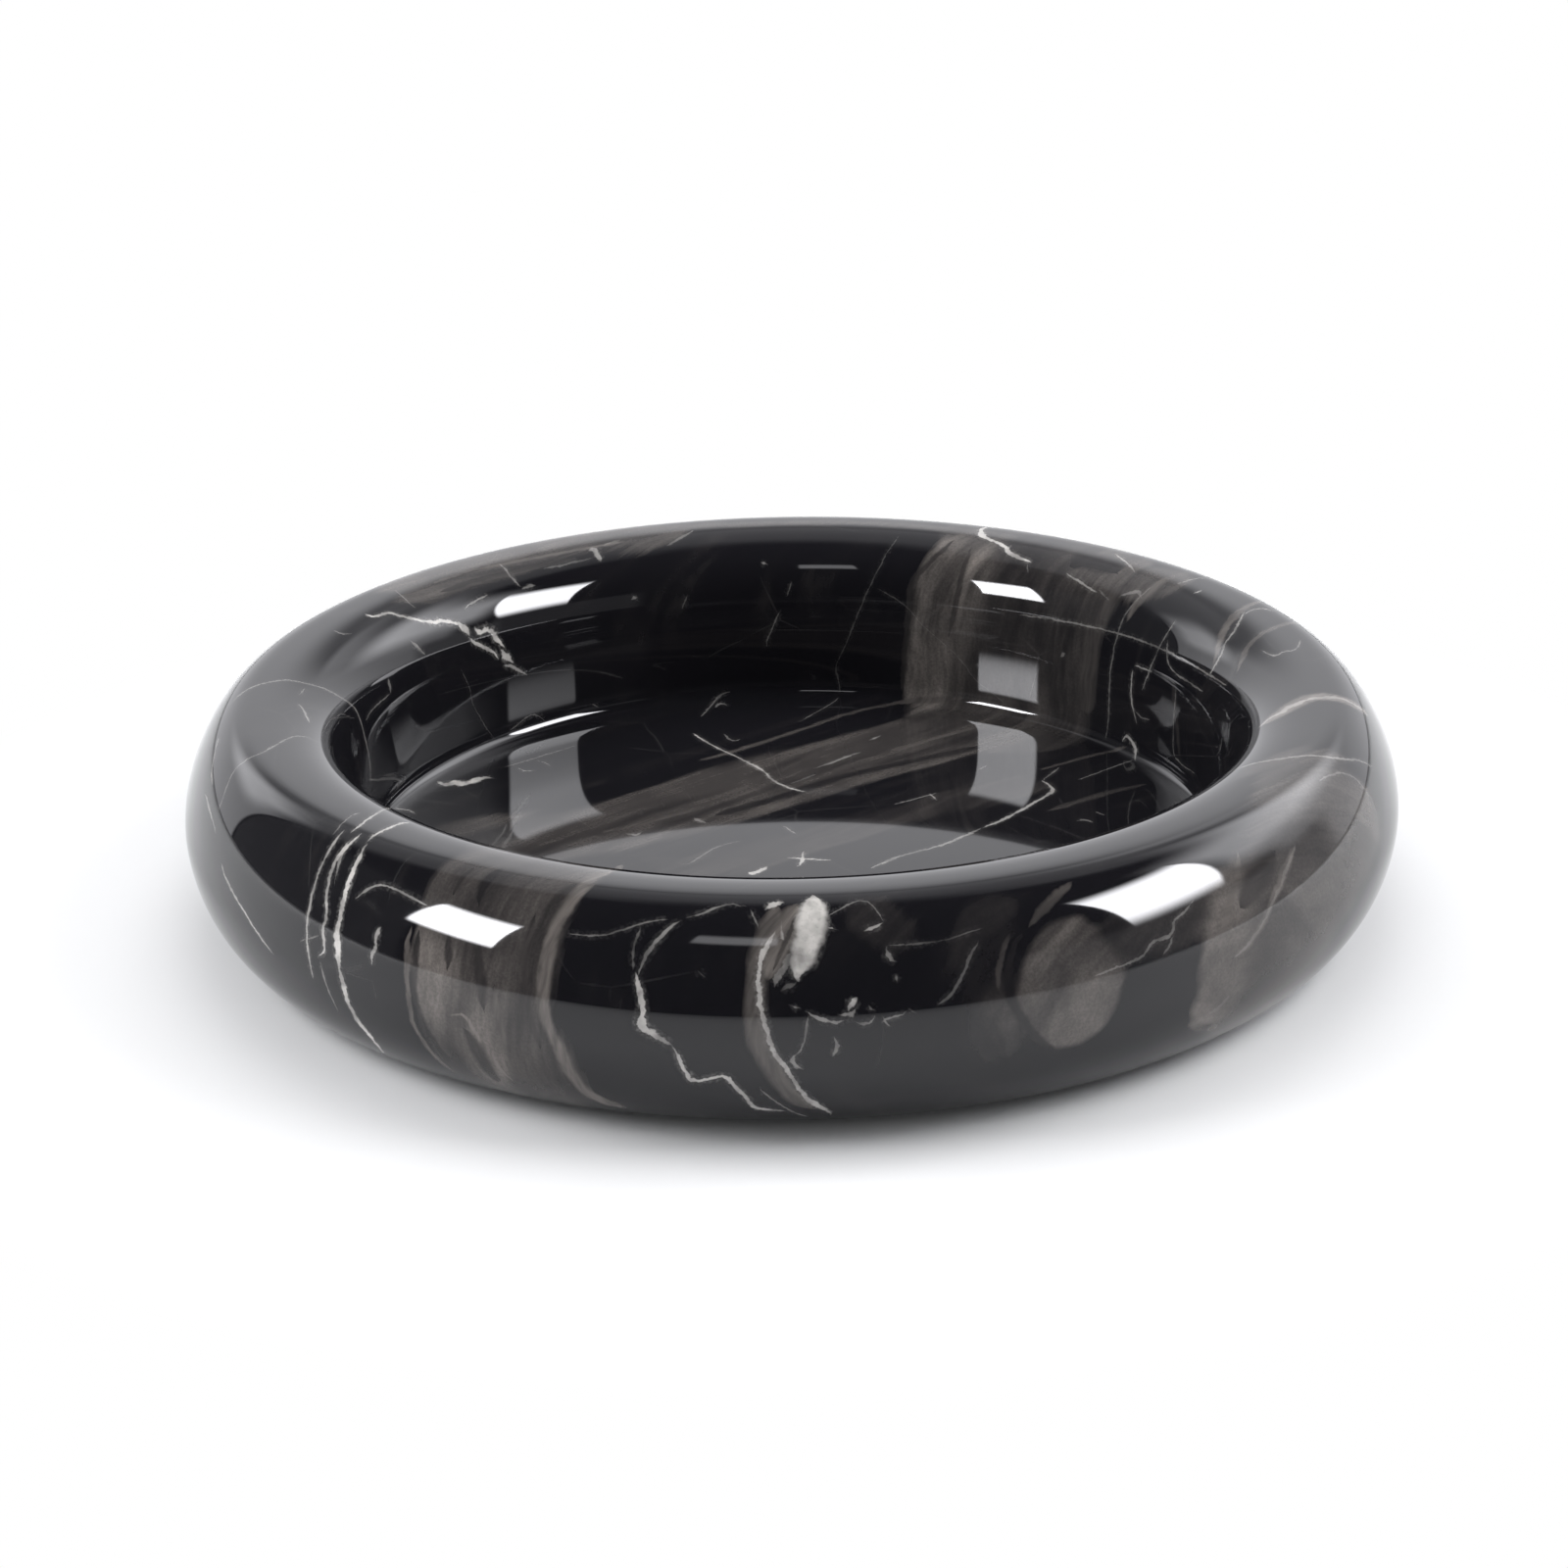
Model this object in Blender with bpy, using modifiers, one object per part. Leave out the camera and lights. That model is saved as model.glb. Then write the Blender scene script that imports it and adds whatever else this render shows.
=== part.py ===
"""Round serving tray turned from one block of black marble, standing on four stick-on pads.

Units are metres and +Z is up. The origin is on the table, under the middle of the tray.
"""
import math

import bmesh
import bpy

# The stone. Heights are measured from its flat underside, or from the crest of the rim.
TRAY_DIAMETER = 0.300       # across the widest line of the outer side
STONE_HEIGHT = 0.0520       # underside to the crest of the rim
WIDEST_HEIGHT = 0.0244      # underside up to the widest line
CREST_INSET = 0.0158        # widest line in to the crest, and in to the edge of the flat underside
WALL_INSET = 0.0256         # crest in to the upright inner wall
WALL_HEAD_DROP = 0.0336     # crest down to the head of the inner wall
FLOOR_THICKNESS = 0.0076
FLOOR_FILLET = 0.0035       # radius where the inner wall meets the floor

# Roundness of the rim's three quarters, as powers: 2 is a plain ellipse, and more is squarer.
OUTER_POWER = 1.7
UNDERSIDE_POWER = 1.85
SHOULDER_POWER = 3.4

# The pads.
PAD_DIAMETER = 0.0120
PAD_THICKNESS = 0.0015
PAD_EDGE_ROUNDING = 0.0003
PAD_MARGIN = 0.0120         # stone left between a pad and the edge of the flat underside
PAD_ANGLES = {              # degrees round +Z from +X
    "pad_back_right": 45.0,
    "pad_back_left": 135.0,
    "pad_front_left": 225.0,
    "pad_front_right": 315.0,
}

# The glue line between a pad and the stone.
GLUE_GAP = 0.0003

# Fineness of the solids.
TURN_STEPS = 96
QUARTER_STEPS = 9
FILLET_STEPS = 4
PAD_SIDES = 32
MERGE_DISTANCE = 0.00001

# Heights and radii that follow from the sizes above.
UNDERSIDE_Z = PAD_THICKNESS + GLUE_GAP
CREST_Z = UNDERSIDE_Z + STONE_HEIGHT
WIDEST_Z = UNDERSIDE_Z + WIDEST_HEIGHT
WALL_HEAD_Z = CREST_Z - WALL_HEAD_DROP
FLOOR_Z = UNDERSIDE_Z + FLOOR_THICKNESS
OUTER_RADIUS = TRAY_DIAMETER / 2
CREST_RADIUS = OUTER_RADIUS - CREST_INSET
WALL_RADIUS = CREST_RADIUS - WALL_INSET
PAD_RING_RADIUS = CREST_RADIUS - PAD_MARGIN - PAD_DIAMETER / 2


def clear_scene():
    """Remove the objects that the scene starts with."""
    for item in list(bpy.data.objects):
        bpy.data.objects.remove(item, do_unlink=True)


def make_material(name, color, roughness):
    """Return a plain Principled material."""
    material = bpy.data.materials.new(name)
    material.use_nodes = True
    shader = material.node_tree.nodes["Principled BSDF"]
    shader.inputs["Base Color"].default_value = (*color, 1.0)
    shader.inputs["Roughness"].default_value = roughness
    shader.inputs["Metallic"].default_value = 0.0
    return material


def quarter(centre, width, height, power):
    """Return the points of a rounded quarter, from its end beside the centre to the one above it.

    A negative width or height puts the quarter on the other side of the centre.
    """
    points = []
    for step in range(QUARTER_STEPS + 1):
        angle = math.pi / 2 * step / QUARTER_STEPS
        across = max(math.cos(angle), 0.0) ** (2 / power)
        up = math.sin(angle) ** (2 / power)
        points.append((centre[0] + width * across, centre[1] + height * up))
    return points


def floor_fillet():
    """Return the points of the arc from the floor to the inner wall."""
    centre = (WALL_RADIUS - FLOOR_FILLET, FLOOR_Z + FLOOR_FILLET)
    points = []
    for step in range(FILLET_STEPS + 1):
        angle = math.pi / 2 * step / FILLET_STEPS
        points.append((
            centre[0] + FLOOR_FILLET * math.sin(angle),
            centre[1] - FLOOR_FILLET * math.cos(angle),
        ))
    return points


def tray_profile():
    """Return the section as (radius, height) points, from the middle of the floor over the rim
    and down to the middle of the underside."""
    shoulder = quarter(
        (CREST_RADIUS, WALL_HEAD_Z), WALL_RADIUS - CREST_RADIUS, CREST_Z - WALL_HEAD_Z, SHOULDER_POWER)
    outer = quarter((CREST_RADIUS, WIDEST_Z), OUTER_RADIUS - CREST_RADIUS, CREST_Z - WIDEST_Z, OUTER_POWER)
    lower = quarter(
        (CREST_RADIUS, WIDEST_Z), OUTER_RADIUS - CREST_RADIUS, UNDERSIDE_Z - WIDEST_Z, UNDERSIDE_POWER)
    return [
        (0.0, FLOOR_Z),
        *floor_fillet(),
        *shoulder,
        *reversed(outer[:-1]),
        *lower[1:],
        (0.0, UNDERSIDE_Z),
    ]


def build_tray(collection):
    """Turn the tray's section once round +Z."""
    points = [(radius, 0.0, height) for radius, height in tray_profile()]
    edges = [(index, index + 1) for index in range(len(points) - 1)]
    mesh = bpy.data.meshes.new("tray_body")
    mesh.from_pydata(points, edges, [])
    tray = bpy.data.objects.new("tray_body", mesh)
    collection.objects.link(tray)
    turn = tray.modifiers.new("turn", "SCREW")
    turn.steps = TURN_STEPS
    turn.render_steps = TURN_STEPS
    turn.use_merge_vertices = True
    turn.merge_threshold = MERGE_DISTANCE
    tray.data.materials.append(make_material("black_marble", (0.012, 0.012, 0.013), 0.08))


def pad_mesh():
    """Return one pad, standing on its own origin."""
    mesh = bpy.data.meshes.new("pad")
    shape = bmesh.new()
    bmesh.ops.create_cone(
        shape, cap_ends=True, segments=PAD_SIDES,
        radius1=PAD_DIAMETER / 2, radius2=PAD_DIAMETER / 2, depth=PAD_THICKNESS)
    bmesh.ops.translate(shape, verts=shape.verts, vec=(0.0, 0.0, PAD_THICKNESS / 2))
    shape.to_mesh(mesh)
    shape.free()
    mesh.materials.append(make_material("pad_rubber", (0.02, 0.02, 0.02), 0.7))
    return mesh


def build_pads(collection):
    """Set the pads in a ring under the stone."""
    mesh = pad_mesh()
    for name, degrees in PAD_ANGLES.items():
        angle = math.radians(degrees)
        pad = bpy.data.objects.new(name, mesh)
        collection.objects.link(pad)
        pad.location = (PAD_RING_RADIUS * math.cos(angle), PAD_RING_RADIUS * math.sin(angle), 0.0)
        rounding = pad.modifiers.new("rounding", "BEVEL")
        rounding.width = PAD_EDGE_ROUNDING
        rounding.segments = 2


def main():
    """Build the whole tray."""
    clear_scene()
    collection = bpy.data.collections.new("marble_tray")
    bpy.context.scene.collection.children.link(collection)
    build_tray(collection)
    build_pads(collection)


main()
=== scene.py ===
"""Round tray of black marble on four rubber pads, in a pale studio.

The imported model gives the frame. The tray's body is turned again, finely, and carries the stone's
veins and clouds as attributes on its surface. Units are metres and +Z is up.
"""

import math

import bmesh
import bpy
import numpy as np
from bpy.props import FloatProperty, FloatVectorProperty, PointerProperty
from bpy.types import Operator, Panel, PropertyGroup
from mathutils import Matrix, Vector
from mathutils.bvhtree import BVHTree


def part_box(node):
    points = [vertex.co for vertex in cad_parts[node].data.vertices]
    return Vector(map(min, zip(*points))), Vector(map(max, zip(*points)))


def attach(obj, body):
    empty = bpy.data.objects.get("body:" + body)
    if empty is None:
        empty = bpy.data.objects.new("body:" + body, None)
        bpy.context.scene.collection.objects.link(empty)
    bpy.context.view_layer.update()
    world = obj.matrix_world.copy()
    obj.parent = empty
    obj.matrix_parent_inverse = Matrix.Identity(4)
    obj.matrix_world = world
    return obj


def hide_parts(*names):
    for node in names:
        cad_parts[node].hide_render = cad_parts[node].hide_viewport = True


bl_info = {
    "name": "Marble Tray",
    "version": (1, 0, 0),
    "blender": (4, 5, 0),
    "location": "3D View > Sidebar > Marble Tray",
    "description": "Builds a round tray of black marble with a thick rolled rim",
    "category": "Add Mesh",
}

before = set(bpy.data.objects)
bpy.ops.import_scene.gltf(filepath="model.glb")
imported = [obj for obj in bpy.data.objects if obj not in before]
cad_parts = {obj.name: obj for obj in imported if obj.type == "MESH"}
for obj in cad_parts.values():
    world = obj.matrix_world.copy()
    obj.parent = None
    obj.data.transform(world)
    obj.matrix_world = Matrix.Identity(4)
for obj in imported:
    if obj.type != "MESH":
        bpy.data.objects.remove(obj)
TRAY_LOWEST, TRAY_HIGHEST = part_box("tray_body")
PADS = [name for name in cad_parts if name.startswith("pad_")]

# The section of the tray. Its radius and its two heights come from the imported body.
CREST_INSET = 0.0158
WALL_INSET = 0.0256
WALL_HEAD_DROP = 0.0336
WIDEST_HEIGHT = 0.0244
FLOOR_THICKNESS = 0.0076
FLOOR_FILLET = 0.0035
OUTER_POWER = 1.7
UNDERSIDE_POWER = 1.85
SHOULDER_POWER = 3.4

OUTER_RADIUS = TRAY_HIGHEST[0]
CREST_Z = TRAY_HIGHEST[2]
UNDERSIDE_Z = TRAY_LOWEST[2]
FLOOR_Z = UNDERSIDE_Z + FLOOR_THICKNESS
CREST_RADIUS = OUTER_RADIUS - CREST_INSET
WALL_RADIUS = CREST_RADIUS - WALL_INSET

# Fineness of the turned body.
TURN_STEPS = 540
WEDGES = 18
RIM_SPACING = 0.00125
FLOOR_RINGS = 50
UNDERSIDE_RINGS = 12
QUARTER_STEPS = 60
DRAFT_SPACING = 0.0003
SOFTENING_PASSES = 30
MERGE_DISTANCE = 0.000005

# The camera, which stands in front of the tray on the -Y side.
PICTURE_PIXELS = 1600
SENSOR_WIDTH = 36.0
CAMERA_DISTANCE = 0.900
CAMERA_ELEVATION = math.radians(23.33)
CAMERA_ROLL = math.radians(-0.903)
FOCAL_PIXELS = 3627.5
TRAY_CENTRE_PIXEL = (807.35, 898.16)

# Veins, and one painted reflection line. Each has its half width in millimetres, its strength, and its
# course.
# These courses are places in the picture, in its pixels.
VEINS_AND_PAINTED_LINE_SEEN = {
    "near left, bright strand": (0.85, 1.0, (
        (373, 862), (364, 880), (350, 920), (344, 960), (349, 1000), (361, 1035), (392, 1075))),
    "near left, bright strand's head": (0.5, 0.8, ((374, 860), (384, 851), (407, 841), (420, 839))),
    "near left, second strand": (0.55, 0.9, (
        (368, 851), (345, 875), (334, 905), (333, 938), (329, 948), (331, 969), (325, 975))),
    "near left, second strand's tail": (0.3, 0.5, ((326, 978), (333, 1005), (345, 1032))),
    "near left, third strand": (0.4, 0.7, (
        (352, 846), (342, 858), (327, 886), (317, 920), (313, 960), (320, 1000))),
    "near left, short strand": (0.35, 0.65, ((359, 856), (350, 868), (341, 902))),
    "near left, upper braid": (0.4, 0.75, ((357, 850), (390, 827), (413, 826), (425, 831))),
    "near left, inner braid": (0.25, 0.5, ((340, 852), (348, 841), (358, 833), (368, 829))),
    "near left, link": (0.2, 0.4, ((306, 960), (327, 955))),
    "near left, blotch": (0.8, 0.75, ((388, 946), (384, 955), (383, 966), (379, 976), (380, 984))),
    "near left, cross vein": (0.3, 0.65, ((362, 917), (390, 903), (438, 925))),
    "left side, lower": (0.35, 0.7, ((226, 880), (232, 900), (260, 948), (279, 974))),
    "left side, middle": (0.3, 0.55, ((209, 808), (221, 852))),
    "left side, upper": (0.25, 0.6, ((223, 752), (216, 785), (217, 803))),
    "left rim, arc": (0.35, 0.5, (
        (232, 722), (246, 708), (263, 699), (290, 694), (320, 699), (342, 708), (358, 719), (367, 733),
        (377, 775), (378, 803))),
    "left rim, second arc": (0.3, 0.45, (
        (222, 830), (236, 792), (250, 776), (268, 768), (302, 751), (332, 760))),
    "left rim, tick": (0.3, 0.6, ((303, 718), (309, 723), (316, 738))),
    "left rim, small tick": (0.2, 0.4, ((305, 709), (312, 702))),
    "left rim, dash": (0.3, 0.5, ((340, 643), (350, 647), (359, 646))),
    "left wall, crystal": (0.7, 0.5, ((396, 692), (399, 706))),
    "left wall, vein": (0.2, 0.45, ((399, 707), (380, 724), (373, 736))),
    "left wall, second hairline": (0.13, 0.25, ((470, 682), (479, 702), (484, 722), (506, 757))),
    "left wall, foot arc": (0.2, 0.45, ((519, 747), (539, 731), (549, 730), (557, 737))),
    "back left rim, white vein": (0.5, 1.0, (
        (372, 626), (381, 629), (397, 625), (406, 628), (442, 635), (452, 633), (472, 638))),
    "back left rim, upper curve": (0.25, 0.7, ((474, 622), (480, 616), (498, 607))),
    "back left rim, crystals": (0.9, 1.0, ((466, 635), (474, 641), (479, 649))),
    "back left rim, crystal vein": (1.0, 1.0, ((484, 639), (490, 646), (497, 642), (515, 661))),
    "back left rim, crystal strand": (0.5, 1.0, ((478, 650), (486, 657), (502, 664), (509, 673))),
    "back left wall, crystal patch": (1.2, 0.9, ((511, 663), (523, 677))),
    "back left wall, crystal tail": (0.5, 0.7, ((513, 679), (522, 680), (537, 688))),
    "back left rim, grey blotch": (0.7, 0.6, ((420, 655), (433, 668))),
    "back left rim, thin line": (0.2, 0.45, ((403, 602), (424, 621))),
    "back left rim, pale line": (0.4, 0.5, ((510, 575), (531, 599))),
    "back left rim, flake": (0.5, 0.5, ((533, 600), (546, 597))),
    "back left rim, sugar": (0.8, 0.6, ((601, 562), (607, 560), (613, 574))),
    "back left rim, sugar trail": (0.5, 0.35, ((555, 580), (604, 570))),
    "back left rim, upper sugar": (0.5, 0.4, ((616, 556), (633, 551))),
    "back left rim, edge of the band": (0.5, 0.4, ((680, 557), (708, 541))),
    "back wall, fleck": (0.6, 0.5, ((645, 611), (651, 609))),
    "back wall, dash": (0.25, 0.4, ((702, 607), (696, 621))),
    "back wall, speck": (0.4, 0.55, ((776, 574), (783, 576))),
    "back wall, left dash": (0.25, 0.4, ((604, 718), (611, 722))),
    "back wall, dotted vein": (0.2, 0.5, ((808, 593), (803, 609))),
    "back wall, dotted vein below": (0.2, 0.45, ((797, 622), (784, 650), (782, 661))),
    "back wall, long vein": (0.2, 0.27, (
        (918, 546), (903, 568), (880, 615), (865, 653), (853, 680), (856, 695), (857, 709))),
    "floor, long vein goes on": (0.25, 0.4, ((856, 711), (848, 718), (815, 737))),
    "back wall, swirl": (0.35, 0.5, ((716, 731), (735, 710), (746, 706))),
    "back wall, swirl's heart": (0.6, 0.6, ((730, 722), (736, 718), (742, 720))),
    "back wall, diagonal": (0.15, 0.28, (
        (895, 600), (922, 617), (945, 641), (978, 671), (995, 693), (1026, 718))),
    "back right rim, white vein": (0.75, 0.95, (
        (1009, 537), (1001, 541), (1004, 548), (1026, 558), (1029, 564), (1053, 574))),
    "back right rim, stub": (0.3, 0.4, ((1048, 575), (1049, 585))),
    "back right rim, dotted vein": (0.4, 0.6, ((1088, 585), (1119, 605))),
    "back right rim, dotted tail": (0.3, 0.4, ((1122, 602), (1132, 613))),
    "back right rim, upper vein": (0.35, 0.6, ((1138, 565), (1153, 577), (1158, 584))),
    "back right rim, crystals": (0.7, 0.4, ((1143, 608), (1160, 604), (1165, 611))),
    "back right, edge of the dark": (0.25, 0.4, (
        (1176, 598), (1153, 620), (1141, 646), (1133, 685), (1131, 735), (1128, 756))),
    # Painted reflection: this white line stands for the mirrored bright inner edge of the near rim.
    "right wall, painted reflection line": (0.25, 0.5, (
        (1040, 627), (1085, 634), (1140, 646), (1185, 662), (1220, 680), (1252, 700))),
    "right rim, top line": (0.3, 0.5, ((1200, 596), (1222, 590), (1233, 591))),
    "right rim, top dash": (0.4, 0.7, ((1217, 606), (1227, 602))),
    "right rim, slanting vein": (0.3, 0.5, ((1200, 632), (1183, 661), (1165, 705))),
    "right wall, short bar": (0.3, 0.65, ((1158, 679), (1175, 685))),
    "right rim, hooked vein": (0.25, 0.5, ((1191, 652), (1194, 681), (1228, 706))),
    "right wall, white vein": (0.4, 0.65, ((1156, 682), (1154, 710), (1160, 739))),
    "right wall, white vein's branch": (0.3, 0.5, ((1158, 725), (1164, 732), (1173, 735))),
    "right wall, foot crystals": (0.5, 0.7, ((1145, 757), (1150, 751), (1159, 764), (1158, 776))),
    "right wall, flake": (0.6, 0.5, ((1083, 670), (1087, 666))),
    "right wall, faint strand": (0.2, 0.35, ((1058, 685), (1050, 713))),
    "right wall, long streak": (0.2, 0.4, ((1200, 700), (1197, 762), (1203, 777), (1220, 790))),
    "right rim, bright vein": (0.35, 0.65, (
        (1270, 624), (1257, 647), (1250, 656), (1246, 668), (1233, 691))),
    "right rim, bright vein's arm": (0.35, 0.55, ((1267, 629), (1276, 623), (1288, 621), (1300, 624))),
    "right rim, pale arc": (1.2, 0.16, ((1296, 640), (1283, 647), (1270, 660), (1260, 678), (1254, 698))),
    "right rim, squiggle": (0.3, 0.5, ((1286, 663), (1300, 669), (1310, 665), (1322, 663), (1328, 653))),
    "right rim, wide pale vein": (1.0, 0.55, (
        (1284, 743), (1296, 733), (1326, 717), (1345, 712), (1368, 713), (1384, 720), (1396, 730))),
    "right rim, long line": (0.4, 0.5, (
        (1243, 792), (1280, 779), (1335, 771), (1362, 774), (1386, 776), (1401, 783))),
    "right rim, lower line": (0.3, 0.4, (
        (1345, 797), (1358, 791), (1371, 789), (1384, 795), (1401, 818), (1406, 832))),
    "right front, pale strand": (0.5, 0.3, (
        (1322, 862), (1306, 905), (1285, 949), (1271, 967), (1257, 979))),
    "right front, beige foot": (0.8, 0.3, ((1255, 1015), (1245, 1027), (1233, 1035))),
    "right front, vein": (0.35, 0.42, (
        (1115, 997), (1152, 982), (1166, 975), (1176, 962), (1190, 957), (1197, 949), (1199, 939),
        (1209, 930), (1218, 918))),
    "right front, spur": (0.3, 0.35, ((1197, 955), (1194, 965), (1187, 974))),
    "front, thin line from the band": (0.2, 0.45, ((575, 953), (616, 954), (655, 942), (684, 938))),
    "front, thin line goes on": (0.3, 0.55, ((700, 937), (744, 923), (757, 925))),
    "front, thin line's drop": (0.2, 0.5, ((765, 928), (775, 947))),
    "front, zigzag's head": (0.4, 0.6, ((696, 939), (683, 947), (662, 971), (651, 996))),
    "front, zigzag": (0.85, 0.9, (
        (648, 992), (655, 1022), (655, 1038), (652, 1044), (663, 1053), (686, 1067))),
    "front, zigzag's tail": (0.5, 0.85, (
        (687, 1068), (700, 1094), (709, 1103), (739, 1098), (748, 1107), (761, 1119), (771, 1130),
        (802, 1134))),
    "front, zigzag's side line": (0.3, 0.4, ((654, 945), (646, 973), (647, 990))),
    "front, white blotch": (3.2, 1.0, ((830, 914), (828, 945), (816, 988), (815, 1000))),
    "front, white blotch's foot": (0.9, 0.6, ((813, 965), (793, 998), (790, 1007))),
    "front, blotch's left piece": (0.8, 0.8, ((781, 928), (789, 923), (798, 921))),
    "front, blotch's beige foot": (0.6, 0.35, ((812, 1004), (797, 1010))),
    "front, pale band's inner line": (0.6, 0.85, (
        (791, 950), (778, 976), (774, 1012), (788, 1069), (806, 1095), (822, 1119), (849, 1137))),
    "front, pale band's branch": (0.3, 0.45, ((825, 1036), (819, 1068), (812, 1077))),
    "front, pale band's hook": (0.6, 0.6, ((812, 1076), (808, 1083), (819, 1092))),
    "front, lower line": (0.35, 0.5, ((775, 1110), (784, 1119), (808, 1134), (826, 1140))),
    "front, small blotch": (0.4, 0.4, ((712, 990), (719, 997))),
    "front, thin arch": (0.2, 0.45, ((841, 936), (868, 922), (880, 919), (891, 925), (903, 942))),
    "front, arch's foot": (0.4, 0.75, ((882, 950), (900, 942))),
    "front, bright speck": (0.35, 0.9, ((842, 946), (850, 947))),
    "front, comma": (0.7, 0.6, ((904, 969), (907, 977), (913, 982))),
    "front, second comma": (0.4, 0.45, ((914, 995), (917, 1002))),
    "front, line to the right": (0.2, 0.35, ((905, 965), (955, 961), (1002, 947))),
    "front, falling line": (0.35, 0.35, ((999, 960), (989, 977), (981, 997), (970, 1015), (955, 1026))),
    "front, low line": (0.25, 0.5, ((925, 1034), (901, 1041))),
    "front, low line's end": (0.4, 0.5, ((927, 1029), (935, 1034))),
    "front, low line's ring": (0.3, 0.5, ((871, 1042), (880, 1045), (889, 1042), (893, 1035))),
    "front, low line goes on": (0.4, 0.6, ((862, 1041), (854, 1044), (834, 1039), (823, 1033))),
    "front, low line's crumb": (0.4, 0.55, ((810, 1027), (817, 1029))),
    "front, crystal patch": (0.75, 0.9, ((875, 1019), (866, 1030))),
    "front, crystal patch's foot": (0.8, 0.9, ((872, 1033), (866, 1036), (860, 1035))),
    "front, crystal fleck": (0.5, 0.6, ((886, 1025), (892, 1031))),
    "front, crystal crumb": (0.35, 0.5, ((902, 1041), (908, 1047))),
    "front, crescent": (0.55, 0.55, ((851, 1060), (855, 1068), (850, 1077))),
    "floor, left blotch": (1.1, 1.0, (
        (446, 797), (454, 801), (463, 798), (474, 800), (495, 793), (503, 794))),
    "floor, left flake": (0.35, 0.6, ((529, 784), (537, 787), (546, 786))),
    "floor, left dash": (0.25, 0.4, ((547, 776), (556, 778), (563, 783))),
    "floor, left line": (0.3, 0.4, ((515, 783), (590, 760))),
    "floor, main vein": (0.38, 0.8, (
        (706, 748), (728, 761), (775, 784), (788, 796), (809, 805), (823, 808))),
    "floor, right streak": (0.5, 0.5, ((832, 784), (879, 767))),
    "floor, sparkles": (0.45, 0.35, ((806, 800), (833, 790))),
    "floor, small hook": (0.3, 0.4, ((738, 748), (747, 756), (756, 754))),
    "floor, fleck": (0.45, 0.5, ((889, 755), (897, 751))),
    "floor, middle line": (0.3, 0.5, ((912, 821), (957, 809))),
    "floor, middle blotch": (0.4, 0.6, ((949, 810), (955, 816))),
    "floor, front flake": (0.6, 0.6, ((707, 835), (721, 840))),
    "floor, front dash": (0.35, 0.45, ((800, 843), (812, 851))),
    "floor, front crystals": (0.45, 0.5, ((640, 851), (648, 852), (655, 849))),
    "floor, front line": (0.3, 0.35, ((690, 880), (703, 881), (730, 865), (756, 858))),
    "floor, star": (0.4, 0.8, ((803, 875), (848, 878))),
    "floor, star's arm": (0.45, 0.8, ((819, 869), (819, 877), (815, 884))),
    "floor, front blotch": (0.9, 0.85, ((763, 890), (770, 891), (784, 884))),
    "floor, front right streak": (0.55, 0.55, ((888, 886), (920, 873), (962, 862), (1002, 845))),
    "floor, right vein": (0.5, 0.7, ((1062, 796), (1074, 805), (1066, 813), (1024, 836), (1002, 845))),
    "floor, right vein's arm": (0.3, 0.5, ((1064, 796), (1081, 783))),
    "floor, right edge line": (0.25, 0.45, ((1157, 775), (1099, 796))),
    "floor, right crystals": (0.5, 0.45, ((1099, 838), (1107, 836), (1115, 839))),
    "floor, right dash": (0.3, 0.4, ((1117, 828), (1127, 832))),
    "floor, streak by the light": (0.5, 0.4, ((999, 785), (1008, 781))),
}

# These courses run round the sides that the picture doesn't show. Each place is a bearing in degrees,
# clockwise from the back as seen from above, and a distance in millimetres from the crest of the rim.
VEINS_UNSEEN = {
    "back, long white vein": (0.6, 0.85, ((14, 14), (17, 24), (15, 34), (24, 58), (23, 70), (30, 84))),
    "back, vein's branch": (0.35, 0.6, ((16, 36), (10, 44), (7, 54), (-1, 62))),
    "back, crossing line": (0.3, 0.5, ((-22, 30), (-12, 34), (-2, 31), (8, 38), (16, 40))),
    "back left, zigzag": (0.5, 0.75, ((-48, 18), (-45, 28), (-51, 38), (-47, 50), (-54, 60), (-52, 74))),
    "back left, blotch": (1.6, 0.8, ((-38, 34), (-37, 47))),
    "left, long line": (0.35, 0.55, ((-96, 46), (-86, 50), (-77, 44), (-66, 52), (-56, 56))),
    "left, falling vein": (0.3, 0.5, ((-81, 30), (-78, 42), (-80, 56), (-74, 68))),
    "back right, strand": (0.7, 0.7, ((44, 12), (47, 24), (45, 36), (50, 50), (49, 66))),
    "back right, side line": (0.3, 0.5, ((47, 26), (55, 30), (62, 40), (70, 43))),
    "right, rising line": (0.35, 0.55, ((74, 62), (80, 50), (83, 38), (90, 30), (94, 18))),
    "right, small blotch": (0.9, 0.7, ((66, 50), (67.5, 55))),
    "near wall, long vein": (0.35, 0.4, ((166, -20), (170, -30), (167, -40), (174, -52), (172, -62))),
    "near wall, branch": (0.2, 0.3, ((170, -31), (178, -36), (186, -34), (196, -42))),
    "near wall, left vein": (0.3, 0.4, ((214, -22), (211, -34), (217, -46), (213, -60))),
    "near wall, right vein": (0.3, 0.4, ((138, -24), (142, -36), (137, -48), (141, -60))),
    "underside, long vein": (0.6, 0.8, (
        (30, 84), (36, 104), (50, 130), (80, 148), (120, 140), (150, 116), (158, 90))),
    "underside, branch": (0.4, 0.6, ((60, 138), (20, 160), (-40, 158), (-70, 130), (-80, 100))),
    "underside, cross vein": (0.4, 0.6, ((200, 80), (206, 104), (224, 128), (250, 134), (262, 112))),
}

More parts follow.
